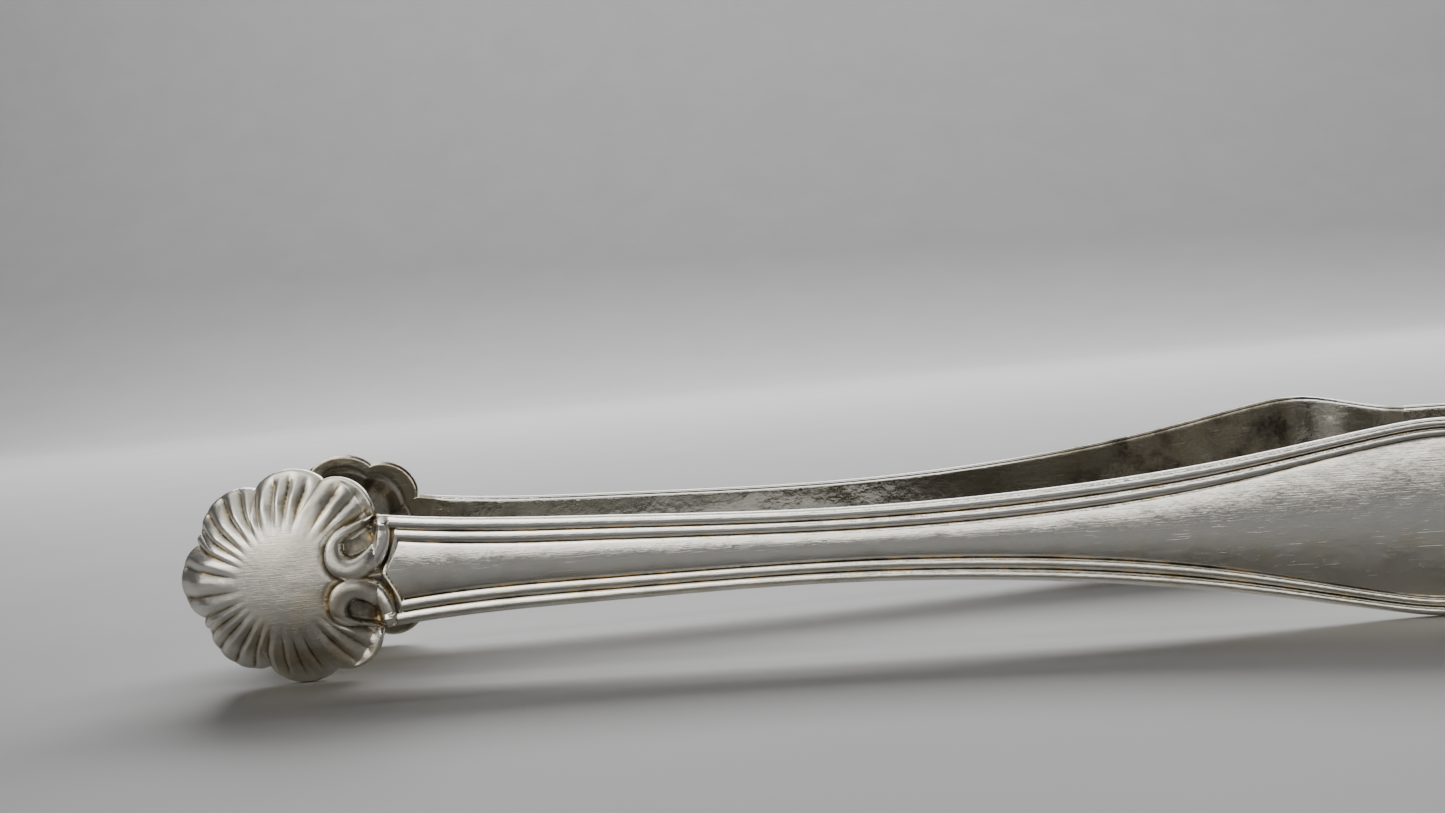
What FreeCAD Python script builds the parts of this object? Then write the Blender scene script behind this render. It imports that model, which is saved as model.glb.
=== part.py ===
"""Silver ice tongs: one spring bow, two threaded arms and two shell grips.

Millimetres.  The tongs are drawn level, with their long axis along X, the bow at +X, the
arms opening along Y and the strip standing on edge in Z.  They are then leaned until the
shells and the shoulders both touch the table, and moved so that z = 0 is the table.
"""
import math
import os

import FreeCAD, Part

# --- driving dimensions -------------------------------------------------------------
strip_thickness = 1.3
neck_half_gap = 8.4          # inner face to the middle plane, at the neck
neck_heading = 3.3           # degrees the arms spread at the neck
arm_length = 92.5            # seam at the shell to the start of the shoulder bend
arm_spread = 7.9             # degrees an arm curves outwards along that length
shoulder_bend = 19.0         # degrees each shoulder turns back in
shoulder_bend_length = 4.8
shoulder_run = 5.6           # flat of the strip from the bend to the bow seam
bow_run = 6.0                # flat of the strip from the bow seam to the arc
neck_half_width = 5.3
waist_half_width = 3.37
waist_x = 43.0               # neck to the narrowest point
shoulder_half_width = 8.2
shoulder_lead = 1.4          # widest point, short of the shoulder bend
bow_half_width = 6.4
thread_insets = ((0.75, 1.15), (1.70, 2.10))   # grooves, measured in from the edge
thread_depth = 0.25
shell_seam = 2.2             # neck to the seam between shell and arm
shell_length = 19.2          # tip to neck
shell_half_height = 10.0
shell_bulge = 4.7            # crown of the shell outside its rim plane
shell_thickness = 1.1
rim_thickness = 0.8
dome_centre = -9.3           # middle of the shell, from the neck
fan_centre = -7.6            # where the flutes of the shell would meet, from the neck
flute_start = 4.9            # the middle of the shell is plain inside this
flute_depth = 0.35
scroll_rise = 0.45           # ridge of a scroll over the dome
scroll_sink = 0.45           # hollow inside a scroll, below the dome
bracket_cusp = 0.3           # neck to the point of the bracket that ends the panel
bracket_foot = 1.7           # neck to the feet of the bracket
bracket_width = 0.4

# --- derived ------------------------------------------------------------------------
V = FreeCAD.Vector
REACH = 60.0
shoulder_x = shell_seam + arm_length - shoulder_lead     # neck to the widest point
pattern_scale = shell_half_height / 10.0                 # flutes and scrolls are listed for a 20 mm shell
dome_reach = 1.06 * shell_half_height    # radius of the dome where it meets the rim plane
dome_radius = (dome_reach ** 2 + shell_bulge ** 2) / (2 * shell_bulge)


def station(share, low, high):
    """Value part of the way from one to another."""
    return low + share * (high - low)


# half width of the strip at stations along X, neck to bow
outline = (
    (-3.0, station(1.22, waist_half_width, neck_half_width)),
    (0.0, neck_half_width),
    (0.49 * waist_x, station(0.29, waist_half_width, neck_half_width)),
    (waist_x, waist_half_width),
    (waist_x + 0.36 * (shoulder_x - waist_x), station(0.15, waist_half_width, shoulder_half_width)),
    (waist_x + 0.69 * (shoulder_x - waist_x), station(0.54, waist_half_width, shoulder_half_width)),
    (waist_x + 0.89 * (shoulder_x - waist_x), station(0.90, waist_half_width, shoulder_half_width)),
    (shoulder_x, shoulder_half_width),
    (shoulder_x + 5.2, station(0.50, bow_half_width, shoulder_half_width)),
    (shoulder_x + 10.0, bow_half_width),
    (shoulder_x + 16.0, bow_half_width),
)


# --- plan of the strip --------------------------------------------------------------
def advance(point, heading, length, turn):
    """Next point and heading (degrees) along a run that may curve."""
    a = math.radians(heading)
    b = math.radians(heading + turn)
    if turn == 0:
        step = V(math.cos(a), math.sin(a), 0) * length
    else:
        step = V(math.sin(b) - math.sin(a), math.cos(a) - math.cos(b), 0) * (length / (b - a))
    return point + step, heading + turn


def outward(heading):
    a = math.radians(heading)
    return V(-math.sin(a), math.cos(a), 0)


def face_line(point, heading, runs, offset):
    """Edges of a line held at an offset outside the inner face, and its two ends."""
    edges = []
    first = point + outward(heading) * offset
    last = first
    for length, turn in runs:
        middle, half_heading = advance(point, heading, length / 2, turn / 2)
        point, heading = advance(point, heading, length, turn)
        through = middle + outward(half_heading) * offset
        end = point + outward(heading) * offset
        if turn == 0:
            edges.append(Part.makeLine(last, end))
        else:
            edges.append(Part.Arc(last, through, end).toShape())
        last = end
    return edges, first, last


def band(point, heading, runs, inner, outer):
    """Solid between two offsets of the inner face, tall enough for any outline."""
    near, near_start, near_end = face_line(point, heading, runs, inner)
    far, far_start, far_end = face_line(point, heading, runs, outer)
    ends = [Part.makeLine(near_start, far_start), Part.makeLine(near_end, far_end)]
    wire = Part.Wire(Part.sortEdges(near + far + ends)[0])
    face = Part.Face(wire)
    face.translate(V(0, 0, -REACH / 2))
    return face.extrude(V(0, 0, REACH))


# --- side outlines ------------------------------------------------------------------
def prism(edges):
    """Solid standing behind a closed side outline drawn in X and Z."""
    face = Part.Face(Part.Wire(Part.sortEdges(edges)[0]))
    face.translate(V(0, -REACH, 0))
    return face.extrude(V(0, 2 * REACH, 0))


def edge_line(inset, side):
    """Long edge of the strip, or a line inside it."""
    points = [V(x, 0, side * (half - inset)) for x, half in outline]
    curve = Part.BSplineCurve()
    curve.interpolate(points)
    return curve.toShape(), points[0], points[-1]


def between(first, second):
    """Solid standing behind the space between two long lines."""
    ends = [Part.makeLine(first[1], second[1]), Part.makeLine(first[2], second[2])]
    return prism([first[0], second[0]] + ends)


def bar(low, high):
    """Solid between two heights, as long as the whole object."""
    return Part.makeBox(4 * REACH, 4 * REACH, high - low, V(-REACH, -2 * REACH, low))


def closed_curve(points, side):
    curve = Part.BSplineCurve()
    scaled = [V(x, 0, side * z) * pattern_scale for x, z in points]
    curve.interpolate(scaled, PeriodicFlag=True)
    return prism([curve.toShape()])


# --- shell --------------------------------------------------------------------------
def ball(inset):
    """Sphere of the dome's outside, or concentric with it."""
    return Part.makeSphere(dome_radius - inset, V(dome_centre, shell_bulge - dome_radius, 0))


def round_point(centre, angle, radius, side=1):
    """Point on the shell, by angle from its tip round a centre on the long axis."""
    a = math.radians(angle)
    return V(centre - radius * math.cos(a), 0, side * radius * math.sin(a))


# edge of the upper half of the shell: each lobe runs from notch to notch through its crown
tip_radius = shell_length + dome_centre
lobe_notches = (
    (23.5, tip_radius * 0.875),
    (31.0, tip_radius * 0.885),
    (76.5, tip_radius * 0.865),
    (117.5, shell_half_height * 0.99),
    (150.5, shell_half_height * 1.04),
)
lobe_crowns = (
    (27.3, tip_radius * 0.905),
    (56.0, tip_radius * 0.965),
    (100.0, shell_half_height * 1.018),
    (138.0, shell_half_height * 1.14),
)
# flutes of the upper half: angle from the tip about the fan centre, and outer end
flute_ends = (
    (7.5, 10.6), (20.0, 9.4), (37.0, 9.1), (48.0, 9.3), (58.0, 9.2), (67.0, 8.6),
    (81.0, 8.4), (91.0, 9.1), (100.0, 9.1), (119.0, 8.9), (129.0, 9.2), (139.5, 8.6),
)


def shell_prism():
    edges = []
    for side in (1, -1):
        for k, crown in enumerate(lobe_crowns):
            first = round_point(dome_centre, *lobe_notches[k], side)
            through = round_point(dome_centre, *crown, side)
            last = round_point(dome_centre, *lobe_notches[k + 1], side)
            edges.append(Part.Arc(first, through, last).toShape())
    tip_ends = [round_point(dome_centre, *lobe_notches[0], side) for side in (1, -1)]
    edges.append(Part.Arc(tip_ends[0], round_point(dome_centre, 0, tip_radius), tip_ends[1]).toShape())
    roots = [round_point(dome_centre, *lobe_notches[-1], side) for side in (1, -1)]
    edges.append(Part.makeLine(*roots))
    return prism(edges)


def flute(angle, end, side):
    """Wedge that widens from the plain middle towards the rim."""
    corners = [
        round_point(fan_centre, angle - 1.5, flute_start, side),
        round_point(fan_centre, angle - 2.3, end * pattern_scale, side),
        round_point(fan_centre, angle + 2.3, end * pattern_scale, side),
        round_point(fan_centre, angle + 1.5, flute_start, side),
    ]
    return prism([Part.makeLine(corners[k - 1], corners[k]) for k in range(4)])


# outlines of the upper scroll and of the hollow inside it
scroll_ridge = (
    (-2.7, 4.6), (-3.9, 3.4), (-3.9, 1.6), (-2.5, 0.12), (-0.4, 0.5), (0.9, 2.4), (0.9, 4.3), (-0.8, 5.0),
)
scroll_hollow = ((-2.0, 3.9), (-2.6, 3.1), (-2.2, 2.2), (-1.2, 2.1), (-0.2, 3.3), (-0.1, 4.6))


def bracket_groove(side):
    """Half of the brace-shaped groove that closes the panel beside the shell."""
    foot = neck_half_width - thread_insets[1][0]
    edges = []
    for across in (0.0, bracket_width):
        start = V(bracket_cusp + across, 0, 0)
        through = V(station(0.35, bracket_cusp, bracket_foot) + across, 0, side * 0.45 * foot)
        end = V(bracket_foot + across, 0, side * foot)
        edges.append((Part.Arc(start, through, end).toShape(), start, end))
    return between(*edges)


def make_shell():
    """Shell grip in its own frame: neck at the origin, rim on y = 0, bulging to +y."""
    outside = Part.makeBox(REACH, REACH, REACH, V(-REACH / 2, 0, -REACH / 2))
    rim = Part.makeBox(REACH, rim_thickness, REACH, V(-REACH / 2, 0, -REACH / 2))
    root = V(-2.0, 0, 0)
    tongue = side_prism.common(band(root, 0, ((2.0 + shell_seam, 0),), 0, strip_thickness))
    body = shell_prism().common(ball(0).common(outside).fuse(rim))
    body = body.fuse(tongue).cut(ball(shell_thickness))
    above_rim = outside.translated(V(0, rim_thickness - flute_depth, 0))
    skin = ball(-1).cut(ball(flute_depth)).common(above_rim)
    raised = ball(-scroll_rise).cut(ball(shell_thickness / 2)).common(outside)
    sunk = ball(-1).cut(ball(scroll_sink)).common(above_rim)
    top = band(root, 0, ((8.0, 0),), strip_thickness - thread_depth, strip_thickness + 2)
    for side in (1, -1):
        for angle, end in flute_ends:
            body = body.cut(flute(angle, end, side).common(skin))
    for side in (1, -1):
        body = body.fuse(closed_curve(scroll_ridge, side).common(raised))
    for side in (1, -1):
        body = body.cut(closed_curve(scroll_hollow, side).common(sunk))
        body = body.cut(bracket_groove(side).common(top))
    return body.removeSplitter()


# --- arm and bow --------------------------------------------------------------------
side_prism = between(edge_line(0, 1), edge_line(0, -1))
neck = V(0, neck_half_gap, 0)
arm_start = advance(neck, neck_heading, shell_seam, 0)[0]
arm_runs = ((arm_length, arm_spread), (shoulder_bend_length, -shoulder_bend), (shoulder_run, 0))


def make_arm():
    body = side_prism.common(band(arm_start, neck_heading, arm_runs, 0, strip_thickness))
    skin = band(arm_start, neck_heading, arm_runs, strip_thickness - thread_depth, strip_thickness + 1)
    for near, far in thread_insets:
        for side in (1, -1):
            body = body.cut(between(edge_line(near, side), edge_line(far, side)).common(skin))
    return body.removeSplitter()


def bow_start():
    point, heading = arm_start, neck_heading
    for length, turn in arm_runs:
        point, heading = advance(point, heading, length, turn)
    return point, heading


def make_bow():
    """Half of the bow is drawn from the seam to its crown and then mirrored."""
    point, heading = bow_start()
    flat_end = advance(point, heading, bow_run, 0)[0]
    turn = -90 - heading
    arc_radius = flat_end.y / math.cos(math.radians(heading))
    runs = ((bow_run, 0), (arc_radius * math.radians(-turn), turn))
    half = band(point, heading, runs, 0, strip_thickness).common(bar(-bow_half_width, bow_half_width))
    skin = band(point, heading, runs, strip_thickness - thread_depth, strip_thickness + 1)
    for near, far in thread_insets:
        for side in (1, -1):
            heights = sorted((side * (bow_half_width - near), side * (bow_half_width - far)))
            half = half.cut(bar(*heights).common(skin))
    return half.fuse(half.mirror(V(0, 0, 0), V(0, 1, 0))).removeSplitter()


# --- assembly -----------------------------------------------------------------------
shell = make_shell()
shell.rotate(V(0, 0, 0), V(0, 0, 1), neck_heading)
shell.translate(neck)
arm = make_arm()
parts = {
    "spring_bow": make_bow(),
    "arm_left": arm,
    "arm_right": arm.mirror(V(0, 0, 0), V(0, 1, 0)),
    "shell_left": shell,
    "shell_right": shell.mirror(V(0, 0, 0), V(0, 1, 0)),
}

# lean the tongs so the shells and the shoulders share the table
shell_low = V(fan_centre, 0, -shell_half_height)
drop = shell_half_height - shoulder_half_width
lean = math.degrees(math.atan2(drop, shoulder_x - fan_centre))
for shape in parts.values():
    shape.rotate(shell_low, V(0, 1, 0), lean)
everything = Part.makeCompound(list(parts.values())).optimalBoundingBox(False, False)
shift = V(-(everything.XMin + everything.XMax) / 2, 0, -everything.ZMin)

os.makedirs("parts", exist_ok=True)
for name, shape in parts.items():
    shape.translate(shift)
    shape.exportStep("parts/" + name + ".step")
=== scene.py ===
import math

import bpy
import numpy as np
from mathutils import Matrix, Vector


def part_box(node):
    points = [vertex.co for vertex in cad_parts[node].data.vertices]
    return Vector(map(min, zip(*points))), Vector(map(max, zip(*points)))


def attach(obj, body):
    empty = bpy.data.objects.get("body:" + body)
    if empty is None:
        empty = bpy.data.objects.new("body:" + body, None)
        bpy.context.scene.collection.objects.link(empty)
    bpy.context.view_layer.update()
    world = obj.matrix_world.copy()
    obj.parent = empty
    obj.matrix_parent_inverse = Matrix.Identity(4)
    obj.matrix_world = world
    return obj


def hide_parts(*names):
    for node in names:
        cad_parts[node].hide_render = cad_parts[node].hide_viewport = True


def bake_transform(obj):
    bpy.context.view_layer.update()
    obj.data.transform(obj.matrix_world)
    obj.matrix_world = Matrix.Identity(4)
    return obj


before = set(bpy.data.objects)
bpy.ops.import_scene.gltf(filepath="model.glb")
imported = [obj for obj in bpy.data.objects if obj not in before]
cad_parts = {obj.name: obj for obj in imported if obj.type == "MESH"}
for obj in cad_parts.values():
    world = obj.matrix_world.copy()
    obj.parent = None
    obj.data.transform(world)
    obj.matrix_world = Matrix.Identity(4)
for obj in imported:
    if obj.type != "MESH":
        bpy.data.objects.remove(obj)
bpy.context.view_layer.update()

# Lengths here are millimetres in the level frame of the tongs: X from the neck of the shells to
# the bow, Y out from the middle plane, Z up from the arms' axis.  place() turns them into metres
# in the row frame.
MM = 0.001

# --- the strip's plan and outline ------------------------------------------------------
NECK_HALF_GAP = 8.4
NECK_HEADING = math.radians(3.3)
SHELL_SEAM = 2.2
ARM_RUNS = ((92.5, 7.9), (4.8, -19.0), (5.6, 0.0))
BOW_RUN = 6.0
THICKNESS = 1.3
BOW_HALF_WIDTH = 6.4
SHELL_HALF_HEIGHT = 10.0
LEAN_X = -7.6
SHOULDER = (93.3, 8.2)       # where along X the strip is widest, and its half width there
LEAN = math.atan2(SHELL_HALF_HEIGHT - SHOULDER[1], SHOULDER[0] - LEAN_X)
ROW_SPACING = 0.3            # distance between cross-sections of the mesh
BOW_STATION = 110.0          # any X past the last station, where the strip no longer changes


def follow(point, heading, runs, spacing):
    """Points and headings along the inner face, about a spacing apart."""
    points, headings = [point], [heading]
    for length, turn in runs:
        count = max(2, math.ceil(length / spacing))
        for k in range(1, count + 1):
            s = length * k / count
            b = heading + math.radians(turn) * k / count
            if turn == 0:
                step = (s * math.cos(b), s * math.sin(b))
            else:
                r = s / (b - heading)
                ahead = r * (math.sin(b) - math.sin(heading))
                step = (ahead, r * (math.cos(heading) - math.cos(b)))
            points.append((point[0] + step[0], point[1] + step[1]))
            headings.append(b)
        point, heading = points[-1], headings[-1]
    return np.array(points), np.array(headings)


def spline(stations):
    """Natural cubic spline through a few stations."""
    xs, ys = np.array(stations, float).T
    n = len(xs)
    h = np.diff(xs)
    a = np.eye(n)
    r = np.zeros(n)
    for i in range(1, n - 1):
        a[i, i - 1:i + 2] = h[i - 1], 2 * (h[i - 1] + h[i]), h[i]
        r[i] = 6 * ((ys[i + 1] - ys[i]) / h[i] - (ys[i] - ys[i - 1]) / h[i - 1])
    m = np.linalg.solve(a, r)

    def at(x):
        x = np.clip(x, xs[0], xs[-1])
        i = np.clip(np.searchsorted(xs, x) - 1, 0, n - 2)
        t, u, g = x - xs[i], xs[i + 1] - x, h[i]
        bend = (m[i] * u ** 3 + m[i + 1] * t ** 3) / (6 * g)
        left, right = ys[i] / g - m[i] * g / 6, ys[i + 1] / g - m[i + 1] * g / 6
        return bend + left * u + right * t

    return at


half_width = spline((
    (-3.0, 5.72), (0.0, 5.3), (21.07, 3.93), (43.0, 3.37), (61.1, 4.09), (77.7, 5.98),
    (87.77, 7.72), SHOULDER, (98.5, 7.3), (103.3, 6.4), (109.3, 6.4),
))
# width of the two threads together along each edge
thread_band = spline((
    (-3.0, 2.3), (9.0, 2.3), (25.0, 2.1), (43.0, 1.95),
    (73.0, 2.0), (88.0, 1.6), (95.0, 1.5), (110.0, 1.5),
))
# the bracket that closes the panel: centre line of its bead, by height from the axis
bracket_line = spline((
    (0.0, 0.56), (0.4, 0.66), (1.0, 0.98), (1.7, 1.42), (2.4, 1.76), (3.2, 2.0), (6.0, 2.1),
))

neck_cos, neck_sin = math.cos(NECK_HEADING), math.sin(NECK_HEADING)
arm_start = (SHELL_SEAM * neck_cos, NECK_HALF_GAP + SHELL_SEAM * neck_sin)
arm_points, arm_headings = follow(arm_start, NECK_HEADING, ARM_RUNS, ROW_SPACING)
flat_end = follow(tuple(arm_points[-1]), arm_headings[-1], ((BOW_RUN, 0),), 1.0)[0][-1]
bow_turn = -90 - math.degrees(arm_headings[-1])
bow_radius = flat_end[1] / math.cos(arm_headings[-1])
bow_runs = ((BOW_RUN, 0), (bow_radius * math.radians(-bow_turn), bow_turn))
bow_points, bow_headings = follow(
    tuple(arm_points[-1]), arm_headings[-1], bow_runs, ROW_SPACING)


def lean(x, y, z):
    """Tip a level point back about the foot of the shells, so the shoulders touch the floor."""
    dx, dz = x - LEAN_X, z + SHELL_HALF_HEIGHT
    c, s = math.cos(LEAN), math.sin(LEAN)
    return np.stack([LEAN_X + dx * c + dz * s, y, -SHELL_HALF_HEIGHT - dx * s + dz * c], -1)


# the crown of the bow fixes where the level frame lies in the row frame
crown = bow_points[-1][0] + THICKNESS
bow_low, bow_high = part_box("spring_bow")
shift = np.array([
    bow_high.x / MM - lean(crown, 0.0, BOW_HALF_WIDTH)[0],
    0.0,
    bow_low.z / MM - lean(crown, 0.0, -BOW_HALF_WIDTH)[2],
])


def place(x, y, z):
    """Level millimetres to metres in the row frame."""
    return (lean(x, y, z) + shift) * MM


# --- relief of the strip ---------------------------------------------------------------
# Heights are off the inner face.  Places across the threads are shares of their band, from 0 at
# the free edge to 1 at the panel.
OUTER_THREAD = (0.26, 0.26, 0.82, 0.46)      # middle, half width, foot, rise
INNER_THREAD = (0.76, 0.24, 0.84, 0.36)
THREADS_MEET = 0.52
GROOVE_FLOOR = 0.84
PANEL_EDGE = 0.86
PANEL_CROWN = 1.24
PANEL_FALL = (0.13, 0.045)                   # fall of a narrow panel, and more per mm of half width
BRACKET_HALF = 0.22                          # half width of the bracket's bead
BRACKET_BAND = 0.92
BRACKET_REACH = 2.4
BRACKET_SLOPE = 0.55
DIRT_SPREAD = 0.05                           # how far tarnish creeps out of a groove
LOWER_SHADE = 0.26                            # painted shade: darkening on the half that faces the floor


def smooth(low, high, x):
    t = np.clip((x - low) / (high - low), 0, 1)
    return t * t * (3 - 2 * t)


def bead(t, centre, half, foot, rise):
    """Height of a round bead across a band."""
    return foot + rise * np.sqrt(np.clip(1 - ((t - centre) / half) ** 2, 0, 1))


def rounding(distance, radius):
    """How far a rounded edge falls back, by the distance in from it."""
    return radius * (1 - np.sqrt(np.clip(1 - (1 - np.clip(distance / radius, 0, 1)) ** 2, 0, 1)))


def strip_relief(x, z, w):
    """Height of the outer face over the inner one, and how tarnished it is."""
    band = thread_band(x)
    edge = (w - np.abs(z)) / band
    slope = np.clip(np.abs(z) / BRACKET_REACH, 0, 1) * BRACKET_SLOPE
    past_bracket = x - bracket_line(np.abs(z)) - BRACKET_HALF
    brace = 1 + past_bracket * (1 - 0.25 * slope) / BRACKET_BAND
    t = np.minimum(edge, brace)
    panel_half = np.maximum(w - band, 0.3)
    rise = PANEL_FALL[0] + PANEL_FALL[1] * panel_half
    side = np.clip(np.abs(z) / panel_half, 0, 1)
    panel = PANEL_CROWN - rise * side ** 2
    panel = PANEL_EDGE + (panel - PANEL_EDGE) * smooth(1.0, 1.14, t) ** 0.5
    height = np.where(t >= 1, panel, bead(t, *INNER_THREAD))
    height = np.where(t < THREADS_MEET, GROOVE_FLOOR, height)
    height = np.where(edge < THREADS_MEET, bead(edge, *OUTER_THREAD), height)
    darkening = np.exp(-(((t - 1.0) / DIRT_SPREAD) ** 2))
    darkening = darkening + np.exp(-(((edge - THREADS_MEET) / DIRT_SPREAD) ** 2))
    darkening = darkening + 0.8 * np.where((brace < 0.55) & (edge > 0.5), 1.0, 0.0)
    return height, np.clip(darkening, 0, 1)


# --- mesh helpers ----------------------------------------------------------------------
# the first mark holds tarnish together with painted shade and a painted dark reflection
MARKS = ("tarnish_and_shade", "polish", "satin")
SHARP_ANGLE = math.radians(50)


def make_mesh(name, points, faces, marks, side):
    """A smooth mesh in the row frame; side -1 is the mirror image of side 1."""
    points = points * np.array([1, side, 1])
    if side < 0:
        faces = [f[::-1] for f in faces]
    mesh = bpy.data.meshes.new(name)
    mesh.from_pydata(place(*points.T).tolist(), [], faces)
    for key, values in zip(MARKS, marks.T):
        mark = mesh.attributes.new(key, "FLOAT", "POINT")
        mark.data.foreach_set("value", values.astype(np.float32))
    mesh.polygons.foreach_set("use_smooth", [True] * len(mesh.polygons))
    mesh.set_sharp_from_angle(angle=SHARP_ANGLE)
    mesh.update()
    piece = bpy.data.objects.new(name, mesh)
    bpy.context.scene.collection.objects.link(piece)
    return piece


def grid_faces(rows, columns, first=0):
    """Quads of a grid whose columns close on themselves."""
    faces = []
    for i in range(rows - 1):
        a, b = first + i * columns, first + (i + 1) * columns
        for j in range(columns):
            k = (j + 1) % columns
            faces.append((a + j, a + k, b + k, b + j))
    return faces


# --- arms and bow ----------------------------------------------------------------------
BAND_ROWS = 36
BAND_FOOT = (1.0, 1.03, 1.07, 1.12, 1.2)     # close rows where the thread meets the panel
EDGE_ROWS = (0.0, 0.03, 0.1, 0.2, 0.32, 0.45, 0.7)
PANEL_ROWS = 24
INNER_ROWS = 16
INNER_MARGIN = 1.2
INNER_EDGE_RADIUS = 0.45


def inside_reflection_and_patch(x):
    """Painted dark reflection inside an arm, darker before the shoulder, and a darker patch beside the
    bow seam.
    """
    shade = 0.8 * smooth(52.0, 72.0, x) * (1 - smooth(91.0, 94.5, x))
    return shade + 0.6 * smooth(101.5, 103.0, x) * (x < 104.3)


def section(w, x):
    """Height from the axis, height off the inner face, tarnish with painted shade and a painted dark
    reflection, and polish round the strip.
    """
    band = float(thread_band(x))
    threads = band * np.linspace(0, 1.0, BAND_ROWS + 1)[:-1]
    edge = np.concatenate([threads, band * np.array(BAND_FOOT)])
    panel = w - edge[-1]
    inner_edges = w - np.array(EDGE_ROWS)
    top = w - edge
    middle = np.linspace(panel, -panel, PANEL_ROWS + 2)[1:-1]
    z_out = np.concatenate([top, middle, -top[::-1]])
    height, darkening = strip_relief(np.full(len(z_out), x), z_out, w)
    fall = rounding(w - inner_edges, INNER_EDGE_RADIUS)
    flat = np.linspace(-(w - INNER_MARGIN), w - INNER_MARGIN, INNER_ROWS)
    z_in = np.concatenate([-inner_edges, flat, inner_edges[::-1]])
    h_in = np.concatenate([fall, np.zeros(INNER_ROWS), fall[::-1]])
    z = np.concatenate([z_out, z_in])
    h = np.concatenate([height, h_in])
    # painted shade: the outer face darker toward its lower half
    darkening = np.maximum(darkening, LOWER_SHADE * smooth(1.0, -2.5, z_out))
    # painted dark reflection inside the arm, and a darker patch beside the bow seam
    darkening = np.concatenate([darkening, np.full(len(z_in), inside_reflection_and_patch(x))])
    shine = 1 - 0.8 * math.exp(-((x - 96.5) / 1.6) ** 2)
    polish = np.concatenate([np.zeros(len(z_out)), np.full(len(z_in), shine)])
    return z, h, darkening, polish


def make_strip(name, points, headings, side, constant=None):
    """A piece of the strip; the bow keeps one constant half width."""
    rows = []
    for (px, py), heading in zip(points, headings):
        w = constant or float(half_width(px))
        z, h, darkening, polish = section(w, BOW_STATION if constant else px)
        x, y = px - h * math.sin(heading), py + h * math.cos(heading)
        rows.append(np.stack([x, y, z, darkening, polish, np.zeros_like(z)], -1))
    columns = len(rows[0])
    data = np.concatenate(rows)
    faces = grid_faces(len(rows), columns)
    faces.append(tuple(range(columns)))
    faces.append(tuple(range(len(data) - 1, len(data) - 1 - columns, -1)))
    faces = [f[::-1] for f in faces]
    return make_mesh(name, data[:, :3], faces, data[:, 3:], side)


# --- shells ----------------------------------------------------------------------------
DOME_X = -9.3
FAN_X = -7.6
RIM = 0.75
BULGE = 4.7
# notches and crowns of the lobes: angle from the tip about the dome's centre, and radius
NOTCHES = ((-23.5, 8.66), (23.5, 8.66), (31.0, 8.76), (76.5, 8.56), (117.5, 9.9), (150.5, 10.4))
CROWNS = ((0.0, 9.9), (27.3, 8.96), (56.0, 9.55), (100.0, 10.18), (138.0, 11.4))
# flutes of one half: angle about the fan's centre; the other half is its mirror image
FLUTES = (7.5, 20.0, 28.5, 37.0, 48.0, 58.0, 67.0, 80.0, 90.0, 100.5, 119.0, 129.0, 139.5)
FLUTE_DEPTH = 0.6
# the upper scroll: centre line of its ridge with half widths, and of the hollow inside it
SCROLL = (
    (-0.1, 5.2, 0.08), (-1.15, 4.75, 0.25), (-2.35, 4.3, 0.38), (-3.1, 3.6, 0.55), (-3.3, 2.6, 0.68),
    (-3.05, 1.65, 0.85), (-2.35, 1.0, 0.98), (-1.4, 0.95, 1.0), (-0.3, 1.65, 0.95), (0.4, 2.7, 0.85),
    (0.75, 3.8, 0.72), (0.8, 4.6, 0.5), (0.6, 5.15, 0.25),
)
HOLLOW = ((-1.75, 2.85, 0.75), (-1.2, 3.1, 0.7), (-0.7, 3.6, 0.55), (-0.3, 4.2, 0.35), (-0.1, 4.8, 0.12))
SCROLL_LOW = 0.3             # the scrolls were struck this much below the axis
SCROLL_RISE = 1.05
HOLLOW_DEPTH = 0.55
VALLEY_DEPTH = 0.42          # the valley round a scroll, and how wide it is
VALLEY_WIDTH = 0.42
DOME_REACH = 10.7            # where the dome's rise ends outside and inside
HOLLOW_REACH = 9.9
REACH_LOSS = 1.3             # both reach this much less toward the neck
ROLL = 3.2                   # width of the roll down to the rim
INSIDE_RISE = 3.5
INSIDE_INSET = 1.5
LEAST_WALL = 0.3
WIDEST_RIB = 13.0
RIM_RADIUS = 0.3
INNER_RIM_RADIUS = 0.35
NO_EDGE = 9.0                # stands for no edge near by
NO_SCROLL = 99.0             # stands for no scroll near by
COLUMNS = 528                # round a shell
RINGS = (108, 24, 8, 30)     # dome, rim, inner rim and hollow


def rim_radius(angle):
    """Distance from the dome's centre to the shell's edge, by angle in degrees from the tip."""
    a = np.abs(angle)
    radius = np.zeros_like(a)
    for (a0, r0), (a1, r1), (ac, rc) in zip(NOTCHES, NOTCHES[1:], CROWNS):
        u = (a - a0) / (a1 - a0)
        inside = (u >= 0) & (u <= 1)
        uc = (ac - a0) / (a1 - a0)
        bulge = rc - (r0 + (r1 - r0) * uc)
        lobe = r0 + (r1 - r0) * u + bulge * np.sin(math.pi * np.clip(u, 0, 1)) ** 0.7
        radius = np.where(inside, lobe, radius)
    back = np.radians(np.clip(180 - a, 0.01, 60))
    neck_side = np.full_like(a, 10.5)
    for _ in range(12):
        neck_side = half_width(DOME_X + neck_side * np.cos(back)) / np.sin(back)
    seam_end = (SHELL_SEAM - DOME_X) / np.cos(back)
    tongue = np.minimum(neck_side, seam_end)
    return np.where(a > NOTCHES[-1][0], tongue, radius)


def pillow(r, reach, from_rim, roll):
    """Share of the dome's rise, rolled down to the rim wherever the edge cuts in."""
    dome = np.clip(1 - (r / reach) ** 2, 0, 1) ** 0.72
    return dome * (1 - (1 - np.clip(from_rim / roll, 0, 1)) ** 2.2)


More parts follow.
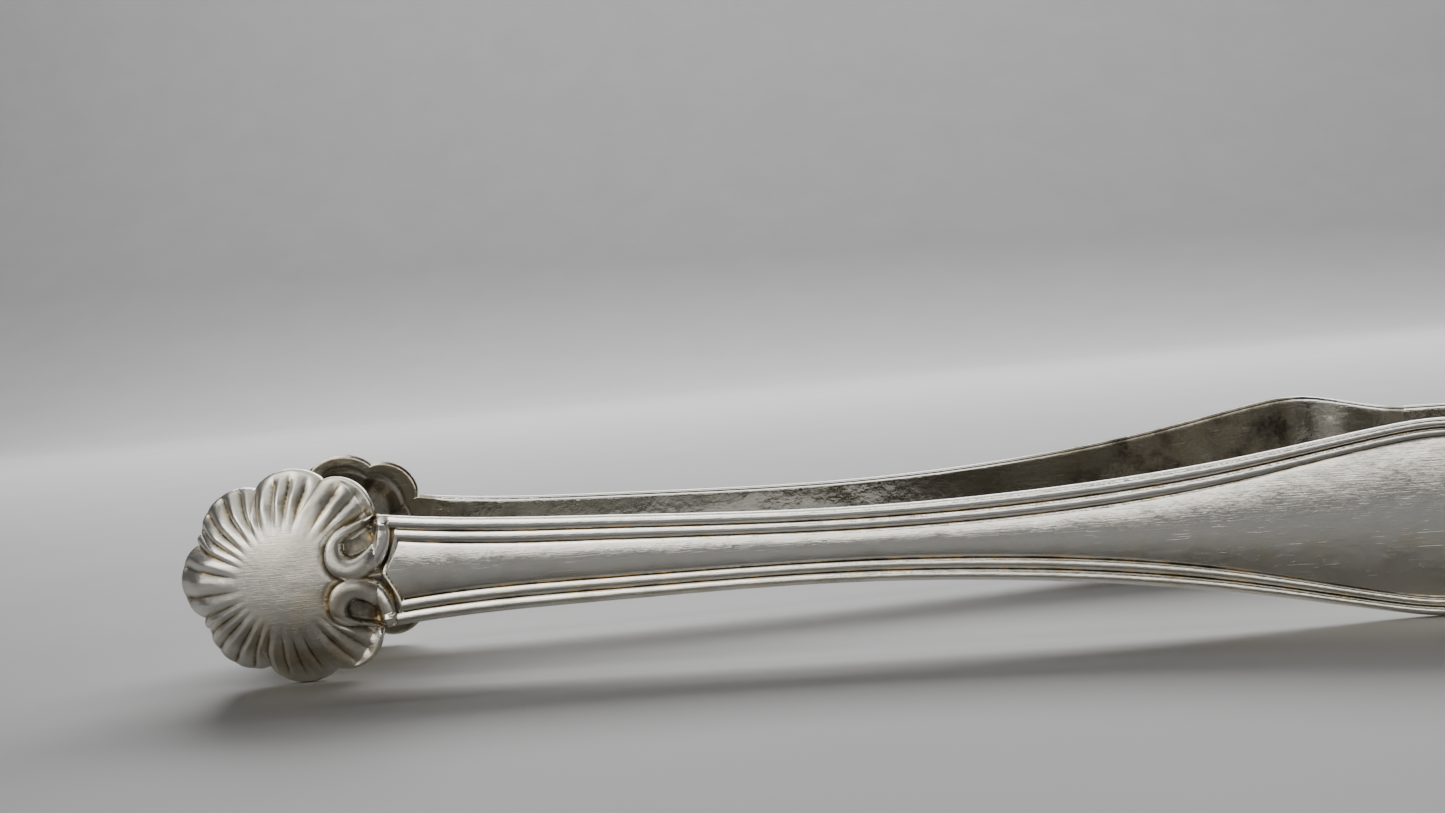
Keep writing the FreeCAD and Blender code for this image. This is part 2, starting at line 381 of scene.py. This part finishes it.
def rim_distance(x, z, angle, radius, share):
    """Distance in from the free edge; the seam with the arm is no edge."""
    from_rim = (1 - share) * radius
    on_tongue = np.where(x > 0, NO_EDGE, from_rim)
    beside = half_width(x) - np.abs(z)
    tongue = np.minimum(on_tongue, np.maximum(beside, 0))
    return np.where(np.abs(angle) < NOTCHES[-1][0], from_rim, tongue)


def densify(path, count):
    """The same path with a count of points on a smooth curve."""
    path = np.array(path)
    order = np.arange(len(path))
    steps = np.linspace(0, len(path) - 1, count)
    return np.stack([spline(np.stack([order, values], -1))(steps) for values in path.T], -1)


def swell(x, z, path):
    """For each point the largest share of a bead along the path, and the gap to its edge."""
    share = np.zeros_like(x)
    gap = np.full_like(x, NO_SCROLL)
    for px, pz, r in path:
        d = np.hypot(x - px, z - pz)
        round_top = np.sqrt(np.clip(1 - (d / r) ** 2, 0, 1))
        share = np.maximum(share, (0.28 + 0.5 * r) * round_top)
        gap = np.minimum(gap, d - r)
    return share, gap


def nearest_valley(x, z):
    """Distance from the fan's centre, its angle, and how far each point is up the rib beside it."""
    fan_a = np.degrees(np.arctan2(z, FAN_X - x))
    valleys = np.sort(np.array([sign * a for a in FLUTES for sign in (1, -1)]))
    after = np.clip(np.searchsorted(valleys, fan_a), 1, len(valleys) - 1)
    low, high = valleys[after - 1], valleys[after]
    apart = np.minimum(high - low, WIDEST_RIB)
    beside = np.minimum(np.abs(fan_a - low), np.abs(high - fan_a))
    return np.hypot(x - FAN_X, z), fan_a, np.clip(beside / (apart / 2), 0, 1)


def cut_flutes(x, z, angle, from_rim, height, darkening):
    """Sharp valleys between rounded ribs."""
    fan_r, fan_a, u = nearest_valley(x, z)
    open_lip = 0.45 + 0.55 * smooth(0.0, 0.8, from_rim)
    lip = np.where(np.abs(angle) > 80, smooth(0.1, 1.7, from_rim), open_lip)
    along = smooth(3.9, 8.6, fan_r) * lip * (1 - smooth(141.0, 148.0, np.abs(fan_a)))
    trough = (1 - u) ** 1.5
    height = height - FLUTE_DEPTH * trough * along
    # tarnish in the flute valleys, partly painted shade there
    valley_tarnish_and_shade = 0.9 * (1 - u) ** 3 * smooth(4.4, 6.0, fan_r) * (0.3 + 0.7 * lip)
    return height, np.maximum(darkening, valley_tarnish_and_shade)


def raise_scrolls(x, z, w, height, darkening):
    """Scrolls, the valley round them and the hollow inside them."""
    lowered = SCROLL_LOW * smooth(-8.0, -3.0, x) * (1 - smooth(3.6, 5.2, np.abs(z)))
    mirrored = np.abs(z + lowered)
    near = smooth(-7.0, -5.0, x)
    ridge, gap = swell(x, mirrored, densify(SCROLL, 90))
    ridge = ridge * smooth(-0.1, 0.9, w + 3.0 * smooth(-0.8, -2.5, x) - np.abs(z))
    hollow, hollow_gap = swell(x, mirrored, densify(HOLLOW, 24))
    valley = np.exp(-((np.maximum(gap, 0) / VALLEY_WIDTH) ** 2))
    valley = valley * near * (1 - smooth(0.7, 1.6, x))
    valley = valley * (gap > 0) * (hollow_gap > 0)
    sunk = HOLLOW_DEPTH * hollow * (gap > -0.05)
    height = height - VALLEY_DEPTH * valley + ridge * SCROLL_RISE - sunk
    darkening = np.maximum(darkening, 0.75 * valley)
    cleaned = darkening * (1 - smooth(0.05, 0.35, ridge))
    return height, np.maximum(cleaned, 0.8 * (hollow > 0.02) * (gap > -0.08))


def shell_outside(x, z, angle, radius, share):
    """Height of the struck face off the rim plane, and its tarnish with painted shade."""
    r = np.hypot(x - DOME_X, z)
    from_rim = (1 - share) * radius
    reach = DOME_REACH - REACH_LOSS * smooth(120.0, 165.0, np.abs(angle))
    dome = RIM + (BULGE - RIM) * pillow(r, reach, from_rim, ROLL)
    w = half_width(x)
    strip, darkening = strip_relief(x, z, w)
    # a smooth maximum lets the dome flow into the strip without a crease
    melt = 0.35 * smooth(-2.5, -1.0, x) * (1 - smooth(0.2, 1.4, x))
    strip = strip * smooth(-1.0, 0.5, x)
    height = 0.5 * (dome + strip + np.sqrt((dome - strip) ** 2 + melt ** 2))
    darkening = darkening * smooth(-0.3, 0.8, x)
    height, darkening = cut_flutes(x, z, angle, from_rim, height, darkening)
    height, darkening = raise_scrolls(x, z, w, height, darkening)
    # wear from handling, more toward the neck, and painted shade making the shell darker toward its
    # lower edge
    handled_and_lower_shade = 0.16 + 0.12 * smooth(-14.0, -5.0, x) + 0.14 * smooth(2.0, -7.0, z)
    on_shell = 1 - smooth(-1.0, 0.6, x)
    # painted shade: the strip past the shell darker toward its lower half
    lower = LOWER_SHADE * smooth(1.0, -2.5, z) * (1 - on_shell)
    darkening = np.maximum(darkening, handled_and_lower_shade * on_shell + lower)
    free = np.abs(angle) < NOTCHES[-1][0]
    return height - np.where(free, rounding(from_rim, RIM_RADIUS), 0), darkening


def shell_inside(x, z, angle, radius, share):
    """Height of the hollow face off the rim plane."""
    r = np.hypot(x - DOME_X, z)
    reach = HOLLOW_REACH - REACH_LOSS * smooth(120.0, 165.0, np.abs(angle))
    hollow = INSIDE_RISE * pillow(r, reach, (1 - share) * radius - INSIDE_INSET, ROLL)
    return hollow + rounding(rim_distance(x, z, angle, radius, share), INNER_RIM_RADIUS)


def make_shell(name, side):
    """A hollow shell in rings round the dome's centre, closed at the middle of both faces."""
    seam_half = float(half_width(SHELL_SEAM))
    corner = 180 - math.degrees(math.atan2(seam_half, SHELL_SEAM - DOME_X))
    marks = [sign * a for a, _ in NOTCHES[1:] for sign in (1, -1)] + [corner, -corner]
    angles = np.union1d(np.linspace(-180, 180, COLUMNS + 1)[:-1], marks)
    radius = rim_radius(angles)
    dome_rings, rim_rings, inner_rim_rings, hollow_rings = RINGS
    outer_shares = np.concatenate([
        np.linspace(0.004, 0.9, dome_rings), np.linspace(0.9, 1.0, rim_rings)[1:]])
    inner_shares = np.concatenate([
        np.linspace(1.0, 0.95, inner_rim_rings), np.linspace(0.94, 0.004, hollow_rings)])
    rows = []
    a = np.radians(angles)
    for share in outer_shares:
        x, z = DOME_X - share * radius * np.cos(a), share * radius * np.sin(a)
        y, darkening = shell_outside(x, z, angles, radius, share)
        satin = 1 - smooth(-1.5, 0.4, x)
        rows.append(np.stack([x, y, z, darkening, np.zeros_like(x), satin], -1))
    for share in inner_shares:
        x, z = DOME_X - share * radius * np.cos(a), share * radius * np.sin(a)
        outside, _ = shell_outside(x, z, angles, radius, share)
        inside = shell_inside(x, z, angles, radius, share)
        y = np.maximum(np.minimum(inside, outside - LEAST_WALL), 0)
        tone = 0.62 * (1 - smooth(1.0, 1.9, x + 0.25 * np.sin(2.3 * z)))
        rows.append(np.stack([x, y, z, tone, np.full_like(x, 0.8), np.zeros_like(x)], -1))
    columns = len(angles)
    data = np.concatenate(rows)
    faces = grid_faces(len(rows), columns)
    faces.append(tuple(reversed(range(columns))))
    last = len(data) - columns
    faces.append(tuple(range(last, len(data))))
    x, y = data[:, 0], data[:, 1]
    along, across = x * neck_cos - y * neck_sin, NECK_HALF_GAP + x * neck_sin + y * neck_cos
    turned = np.stack([along, across, data[:, 2]], -1)
    return make_mesh(name, turned, faces, data[:, 3:], side)


# --- materials -------------------------------------------------------------------------
class Nodes:
    """Short way to add and join shader nodes."""

    def __init__(self, name):
        self.material = bpy.data.materials.new(name)
        self.material.use_nodes = True
        self.tree = self.material.node_tree
        self.shader = self.tree.nodes["Principled BSDF"]

    def add(self, kind, inputs=None, **settings):
        node = self.tree.nodes.new(kind)
        for key, value in settings.items():
            setattr(node, key, value)
        for key, value in (inputs or {}).items():
            if isinstance(value, bpy.types.NodeSocket):
                self.tree.links.new(value, node.inputs[key])
            else:
                node.inputs[key].default_value = value
        return node

    def math(self, operation, a, b, clamp=False):
        node = self.add("ShaderNodeMath", {0: a, 1: b}, operation=operation, use_clamp=clamp)
        return node.outputs[0]

    def noise(self, vector, scale, detail=4.0, stretch=(1, 1, 1), rough=0.55):
        moved = self.add("ShaderNodeMapping", {"Vector": vector, "Scale": stretch}).outputs[0]
        settings = {"Vector": moved, "Scale": scale, "Detail": detail, "Roughness": rough}
        return self.add("ShaderNodeTexNoise", settings).outputs[0]

    def ramp(self, value, stops):
        node = self.add("ShaderNodeValToRGB", {0: value})
        elements = node.color_ramp.elements
        while len(elements) < len(stops):
            elements.new(0.5)
        for element, (position, colour) in zip(elements, stops):
            element.position = position
            element.color = (*colour, 1)
        return node.outputs[0]


# noise scales are per metre; the three threefold ones stretch it along X, Y and Z
BLOTCH_SCALE = 260.0
FINE_SCALE = 2600.0
PATCH_SCALE = 420.0
PIT_SCALE = 700.0
BRUSHED = (450, 500, 11000)
CROSSED = (7000, 7000, 600)
SCRATCHES = (260, 300, 17000)
SCRATCH_LEVEL = 0.72
PATCH_LEVEL = 0.52
PIT_SIZE = 0.08
WAVE_HEIGHT = 0.00010        # bump heights in metres
GRAIN_HEIGHT = 0.000016
LEAST_ROUGHNESS = 0.03
# colour of the silver by how dark it is marked, from tarnish and painted shade: grey where it is worn,
# golden in patches
GREY_SILVER = (
    (0.0, (0.76, 0.745, 0.70)), (0.3, (0.56, 0.54, 0.48)),
    (0.6, (0.27, 0.25, 0.20)), (0.85, (0.06, 0.052, 0.042)),
)
GOLDEN = (
    (0.0, (0.78, 0.75, 0.67)), (0.3, (0.68, 0.58, 0.39)),
    (0.6, (0.42, 0.31, 0.17)), (0.9, (0.10, 0.07, 0.04)),
)


def silver(name):
    n = Nodes(name)
    where = n.add("ShaderNodeTexCoord").outputs["Object"]
    tarnish_and_shade, polish, matt = (
        n.add("ShaderNodeAttribute", attribute_name=mark).outputs["Fac"] for mark in MARKS)
    blotch = n.noise(where, BLOTCH_SCALE, 5.0)
    fine = n.noise(where, FINE_SCALE, 3.0)
    brushed = n.noise(where, 1.0, 3.0, BRUSHED, 0.65)
    crossed = n.noise(where, 1.0, 2.0, CROSSED, 0.6)
    streaks = n.noise(where, 1.0, 2.0, SCRATCHES, 0.5)
    scratch = n.math("GREATER_THAN", streaks, SCRATCH_LEVEL)
    # tarnish gathers in the grooves, in uneven patches, and is rubbed off the crowns; the same mark also
    # holds painted shade and a painted dark reflection
    uneven = n.math("ADD", n.math("MULTIPLY", blotch, 0.9), 0.15)
    speckled = n.math("ADD", uneven, n.math("MULTIPLY", fine, 0.5))
    speckled_tarnish_and_shade = n.math("MULTIPLY", tarnish_and_shade, speckled)
    haze = n.math("MULTIPLY", n.math("SUBTRACT", blotch, 0.52, True), 0.5)
    darkening = n.math("ADD", speckled_tarnish_and_shade, haze, True)
    patches = n.math("GREATER_THAN", n.noise(where, PATCH_SCALE, 4.0), PATCH_LEVEL)
    patches = n.math("MULTIPLY", patches, n.math("MULTIPLY", tarnish_and_shade, 0.85))
    unpolished = n.math("SUBTRACT", 1.0, n.math("MULTIPLY", polish, 0.85))
    patches = n.math("MULTIPLY", patches, unpolished)
    tones = {"Factor": patches, 6: n.ramp(darkening, GREY_SILVER), 7: n.ramp(darkening, GOLDEN)}
    colour = n.add("ShaderNodeMix", tones, data_type="RGBA")
    n.tree.links.new(colour.outputs[2], n.shader.inputs["Base Color"])
    n.shader.inputs["Metallic"].default_value = 1.0
    # fine brushing along the strip, matt on the shells, polished inside
    satin = n.math("ADD", n.math("MULTIPLY", brushed, 0.2), n.math("MULTIPLY", matt, 0.12))
    satin = n.math("ADD", satin, n.math("MULTIPLY", fine, 0.10))
    unpolished = n.math("SUBTRACT", 1.0, n.math("MULTIPLY", polish, 0.65))
    satin = n.math("MULTIPLY", satin, unpolished)
    satin = n.math("ADD", satin, n.math("MULTIPLY", scratch, 0.07))
    satin = n.math("ADD", satin, LEAST_ROUGHNESS)
    rough = n.math("ADD", satin, n.math("MULTIPLY", darkening, 0.22), True)
    n.tree.links.new(rough, n.shader.inputs["Roughness"])
    cells = n.add("ShaderNodeTexVoronoi", {"Vector": where, "Scale": PIT_SCALE})
    pits = n.math("LESS_THAN", cells.outputs["Distance"], PIT_SIZE)
    pits = n.math("MULTIPLY", pits, n.math("MULTIPLY", fine, -1.6))
    grain = n.math("ADD", brushed, n.math("MULTIPLY", crossed, 0.15))
    grain = n.math("SUBTRACT", grain, n.math("MULTIPLY", scratch, 0.3))
    crusted = n.math("MULTIPLY", n.math("MULTIPLY", darkening, fine), 0.8)
    relief = n.math("ADD", n.math("ADD", grain, pits), crusted)
    relief = n.math("MULTIPLY", relief, n.math("ADD", n.math("MULTIPLY", matt, 2.0), 1.0))
    unpolished = n.math("SUBTRACT", 1.0, n.math("MULTIPLY", polish, 0.8))
    relief = n.math("MULTIPLY", relief, unpolished)
    waves = {"Height": blotch, "Strength": 1.0, "Distance": WAVE_HEIGHT}
    wavy = n.add("ShaderNodeBump", waves).outputs[0]
    marks = {"Height": relief, "Strength": 0.55, "Distance": GRAIN_HEIGHT, "Normal": wavy}
    n.tree.links.new(n.add("ShaderNodeBump", marks).outputs[0], n.shader.inputs["Normal"])
    return n.material


def pale_ground():
    n = Nodes("pale_ground")
    where = n.add("ShaderNodeTexCoord").outputs["Object"]
    mottle = n.noise(where, 30.0, 4.0)
    colour = n.ramp(mottle, ((0.3, (0.70, 0.70, 0.70)), (0.7, (0.74, 0.74, 0.74))))
    n.tree.links.new(colour, n.shader.inputs["Base Color"])
    n.shader.inputs["Roughness"].default_value = 0.6
    return n.material


# --- build -----------------------------------------------------------------------------
tongs = bpy.data.collections.new("tongs")
metal = {
    "shell": silver("struck_silver"),
    "arm": silver("threaded_silver"),
    "bow": silver("bow_silver"),
}


def finish_piece(piece, kind, node):
    """Give a piece its silver and let it stand for its CAD node."""
    tongs.objects.link(piece)
    piece.data.materials.append(metal[kind])
    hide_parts(node)


for side, hand, body in ((1, "left", "arm_a"), (-1, "right", "arm_b")):
    arm = make_strip("threaded_arm_" + hand, arm_points, arm_headings, side)
    finish_piece(arm, "arm", "arm_" + hand)
    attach(arm, body)
    shell = make_shell("scallop_shell_" + hand, side)
    finish_piece(shell, "shell", "shell_" + hand)
    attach(shell, body)
    bow = make_strip("bow_half_" + hand, bow_points, bow_headings, side, BOW_HALF_WIDTH)
    finish_piece(bow, "bow", "spring_bow")
    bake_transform(bow)


# --- stage, light and camera (metres) --------------------------------------------------
FLOOR_HALF_WIDTH = 2.5
FLOOR_FRONT, FLOOR_BACK = -1.5, 0.7
SWEEP_RADIUS = 0.6
SWEEP_STEPS = 24
BACKDROP_Y, BACKDROP_TOP = 1.3, 2.2
CAMERA_TURN = (-2.871, 2.513, 4.302)         # yaw, pitch down and roll in degrees
CAMERA_POINT = (40.136, -154.66, 19.294)     # level millimetres
SENSOR_WIDTH = 36.0
FOCAL_RATIO = 1600 / 1445                    # focal length over the frame's width


def make_ground():
    """A floor that sweeps up into a plain backdrop behind the tongs."""
    sweep = [(FLOOR_FRONT, 0.0), (FLOOR_BACK, 0.0)]
    for k in range(1, SWEEP_STEPS + 1):
        a = math.radians(90 * k / SWEEP_STEPS)
        rise = SWEEP_RADIUS - SWEEP_RADIUS * math.cos(a)
        sweep.append((FLOOR_BACK + SWEEP_RADIUS * math.sin(a), rise))
    sweep.append((BACKDROP_Y, BACKDROP_TOP))
    sides = (-FLOOR_HALF_WIDTH, FLOOR_HALF_WIDTH)
    points = [(x, y, z) for x in sides for y, z in sweep]
    n = len(sweep)
    faces = [(k, k + n, k + n + 1, k + 1) for k in range(n - 1)]
    mesh = bpy.data.meshes.new("ground")
    mesh.from_pydata(points, [], faces)
    mesh.polygons.foreach_set("use_smooth", [True] * len(mesh.polygons))
    mesh.materials.append(pale_ground())
    ground = bpy.data.objects.new("ground", mesh)
    bpy.context.scene.collection.objects.link(ground)


def softbox(name, place_at, aim, size, power, colour=(1, 1, 1), metal_only=False):
    """A soft rectangular light; a metal-only one gives the silver a reflection, not the floor."""
    light = bpy.data.lights.new(name, "AREA")
    light.shape = "RECTANGLE"
    light.size, light.size_y = size
    light.energy = power
    light.color = colour
    lamp = bpy.data.objects.new(name, light)
    bpy.context.scene.collection.objects.link(lamp)
    lamp.visible_camera = False
    if metal_only:
        lamp.light_linking.receiver_collection = tongs
    lamp.location = place_at
    direction = Vector(aim) - Vector(place_at)
    lamp.rotation_euler = direction.to_track_quat("-Z", "Y").to_euler()


def make_camera():
    """The viewpoint: a little above the tongs, square to the near arm."""
    yaw, pitch, roll = (math.radians(a) for a in CAMERA_TURN)
    level = math.cos(pitch)
    ahead = Vector((math.sin(yaw) * level, math.cos(yaw) * level, -math.sin(pitch)))
    right = Vector((math.cos(yaw), -math.sin(yaw), 0))
    down = ahead.cross(right)
    c, s = math.cos(roll), math.sin(roll)
    right, down = c * right + s * down, c * down - s * right
    turn = Matrix.Rotation(LEAN, 3, "Y")
    axes = Matrix([turn @ right, turn @ -down, turn @ -ahead]).transposed().to_4x4()
    data = bpy.data.cameras.new("view")
    data.sensor_width = SENSOR_WIDTH
    data.lens = FOCAL_RATIO * SENSOR_WIDTH
    data.clip_start = 0.001
    camera = bpy.data.objects.new("view", data)
    bpy.context.scene.collection.objects.link(camera)
    camera.matrix_world = Matrix.Translation(Vector(place(*CAMERA_POINT))) @ axes
    bpy.context.scene.camera = camera


make_ground()
lamps = (
    # name, place, aim, size, power, colour, whether it lights the metal only
    ("front", (-0.03, -0.34, 0.125), (-0.03, 0.0, 0.03), (0.85, 0.16), 1.0, (1.0, 0.97, 0.90), True),
    ("left", (-0.30, -0.28, 0.42), (-0.06, 0, 0.01), (0.45, 0.36), 2.6, (1.0, 0.98, 0.95), True),
    ("overhead", (0.0, -0.02, 0.55), (0.0, 0.0, 0.0), (0.7, 0.34), 1.0, (1.0, 0.98, 0.93), True),
    ("behind", (0.05, 0.62, 0.42), (0.0, 0.25, 0.0), (1.0, 0.25), 5.0),
    ("backdrop", (0.0, 0.75, 1.0), (0.0, 1.3, 0.3), (1.6, 0.3), 6.0),
)
for lamp in lamps:
    softbox(*lamp)
world = bpy.data.worlds.new("studio")
world.use_nodes = True
sky = world.node_tree.nodes["Background"]
sky.inputs["Color"].default_value = (0.5, 0.5, 0.52, 1)
sky.inputs["Strength"].default_value = 0.12
bpy.context.scene.world = world
make_camera()
